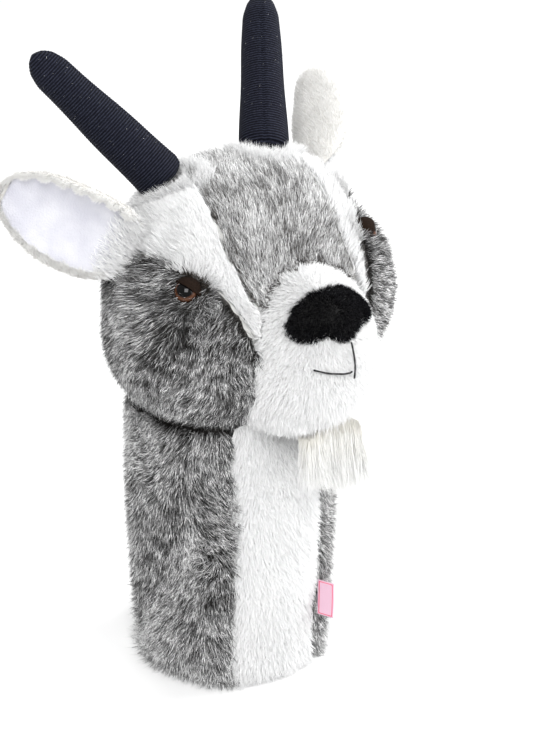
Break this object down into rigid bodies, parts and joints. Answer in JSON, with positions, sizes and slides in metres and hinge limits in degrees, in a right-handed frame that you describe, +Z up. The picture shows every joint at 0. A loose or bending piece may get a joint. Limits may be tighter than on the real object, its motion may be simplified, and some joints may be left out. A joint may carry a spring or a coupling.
{
  "type": "driver head cover",
  "caption": "Plush goat's head on a furry neck sleeve: a soft cover that goes over the head of a golf driver, with knitted horns, cupped ears and a beard.",
  "frame": {"origin": "under the middle of the cover's bounding box, on the surface it stands on", "axes": "+Z up along the neck sleeve, the face looks along -Y, the goat's own left side is +X"},
  "size_m": [0.2404, 0.1888, 0.3901],
  "materials": {
    "forehead_fur": "light salt-and-pepper grey plush pile",
    "grey_fur": "mid grey plush pile with dark roots and light tips",
    "white_fur": "white plush pile",
    "beard_fur": "long silky white pile",
    "nose_fur": "black short pile",
    "horn_knit": "black ribbed knit",
    "ear_satin": "smooth white sateen",
    "ear_fur": "cream short pile",
    "lining": "dark woven lining",
    "elastic": "ribbed woven elastic",
    "stuffing": "polyester filling",
    "thread": "black twisted thread",
    "eye_plastic": "brown iris and black pupil under a clear dome",
    "washer_plastic": "plain moulded",
    "eyelid": "dark brown short pile",
    "label_tape": "woven tape, no lettering"
  },
  "bodies": {
    "cover": {"forehead_panel": "forehead_fur", "stripe_left": "white_fur", "stripe_right": "white_fur", "cheek_left": "grey_fur", "cheek_right": "grey_fur", "head_back_panel": "grey_fur", "muzzle_panel": "white_fur", "chin_panel": "white_fur", "nose_pad": "nose_fur", "neck_bib": "white_fur", "neck_panel_left": "grey_fur", "neck_panel_right": "grey_fur", "hem_binding": "grey_fur", "neck_lining": "lining", "pocket_lining": "lining", "neck_elastic": "elastic", "head_stuffing": "stuffing", "muzzle_stuffing": "stuffing", "mouth_stitch_centre": "thread", "mouth_stitch_right": "thread", "eye_left": "eye_plastic", "eye_washer_left": "washer_plastic", "eyelid_left": "eyelid", "eye_right": "eye_plastic", "eye_washer_right": "washer_plastic", "eyelid_right": "eyelid"},
    "horn_left": {"horn_sleeve_left": "horn_knit", "horn_fill_left": "stuffing"},
    "horn_right": {"horn_sleeve_right": "horn_knit", "horn_fill_right": "stuffing"},
    "ear_left": {"ear_front_left": "ear_satin", "ear_back_left": "ear_fur"},
    "ear_right": {"ear_front_right": "ear_satin", "ear_back_right": "ear_fur"},
    "beard": {"beard_tuft": "beard_fur"},
    "label": {"side_label": "label_tape"}
  },
  "joints": [
    {"name": "ear_flop_left", "type": "hinge", "parent": "cover", "child": "ear_left", "pos_m": [0.07629, 0.02664, 0.29519], "axis": [0.0522, -0.6075, 0.7926], "range_deg": [-20, 20], "stiffness_Nm_per_rad": 0.2},
    {"name": "horn_bend_left", "type": "hinge", "parent": "cover", "child": "horn_left", "pos_m": [0.04476, 0.03115, 0.31664], "axis": [0.7823, -0.6229, 0], "range_deg": [-8, 8], "stiffness_Nm_per_rad": 0.5},
    {"name": "ear_flop_right", "type": "hinge", "parent": "cover", "child": "ear_right", "pos_m": [-0.06532, 0.02062, 0.29005], "axis": [-0.3204, 0.2926, -0.901], "range_deg": [-20, 20], "stiffness_Nm_per_rad": 0.2},
    {"name": "horn_bend_right", "type": "hinge", "parent": "cover", "child": "horn_right", "pos_m": [-0.03005, 0.03115, 0.31664], "axis": [-0.7823, -0.6229, 0], "range_deg": [-8, 8], "stiffness_Nm_per_rad": 0.5},
    {"name": "beard_swing", "type": "hinge", "parent": "cover", "child": "beard", "pos_m": [0.00736, -0.06625, 0.18514], "axis": [1, 0, 0], "range_deg": [-20, 20], "stiffness_Nm_per_rad": 0.02},
    {"name": "label_fold", "type": "hinge", "parent": "cover", "child": "label", "pos_m": [0.02961, -0.04023, 0.0475], "axis": [0, 0, 1], "range_deg": [-40, 40], "stiffness_Nm_per_rad": 0.001}
  ]
}
